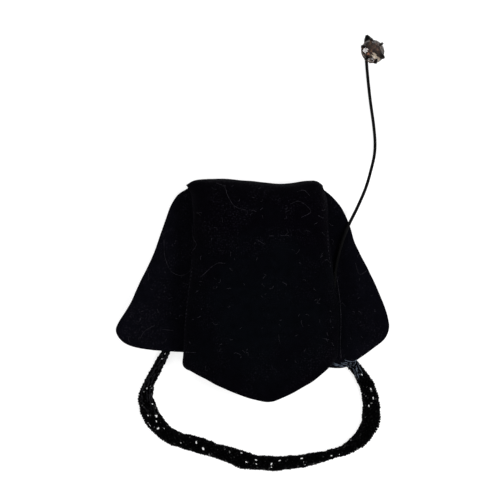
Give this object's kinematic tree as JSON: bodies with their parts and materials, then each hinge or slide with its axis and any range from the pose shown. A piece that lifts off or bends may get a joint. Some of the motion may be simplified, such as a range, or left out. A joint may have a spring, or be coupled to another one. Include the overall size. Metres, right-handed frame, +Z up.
{
  "type": "doll hat",
  "caption": "Soft velvet doll hat lying on its back, with a puffed peaked front, flared wings, a beaded strap and a stone on a wire.",
  "frame": {"origin": "on the resting face under the middle of the hat's back", "axes": "+Z up through the puffed front, +Y towards the stone at the wire's end, X across the wings"},
  "size_m": [0.0679, 0.1083, 0.0166],
  "materials": {
    "velvet": "black velvet pile",
    "beads": "glossy black seed beads",
    "wire": "thread-covered wire",
    "setting": "dark silvered metal",
    "stone": "smoky cut glass, foiled at the back"
  },
  "bodies": {
    "root": {"bell_back": "velvet", "crown_front": "velvet", "bead_strap": "beads", "stem_wire": "wire", "stone_setting": "setting", "rhinestone": "stone"}
  },
  "joints": []
}
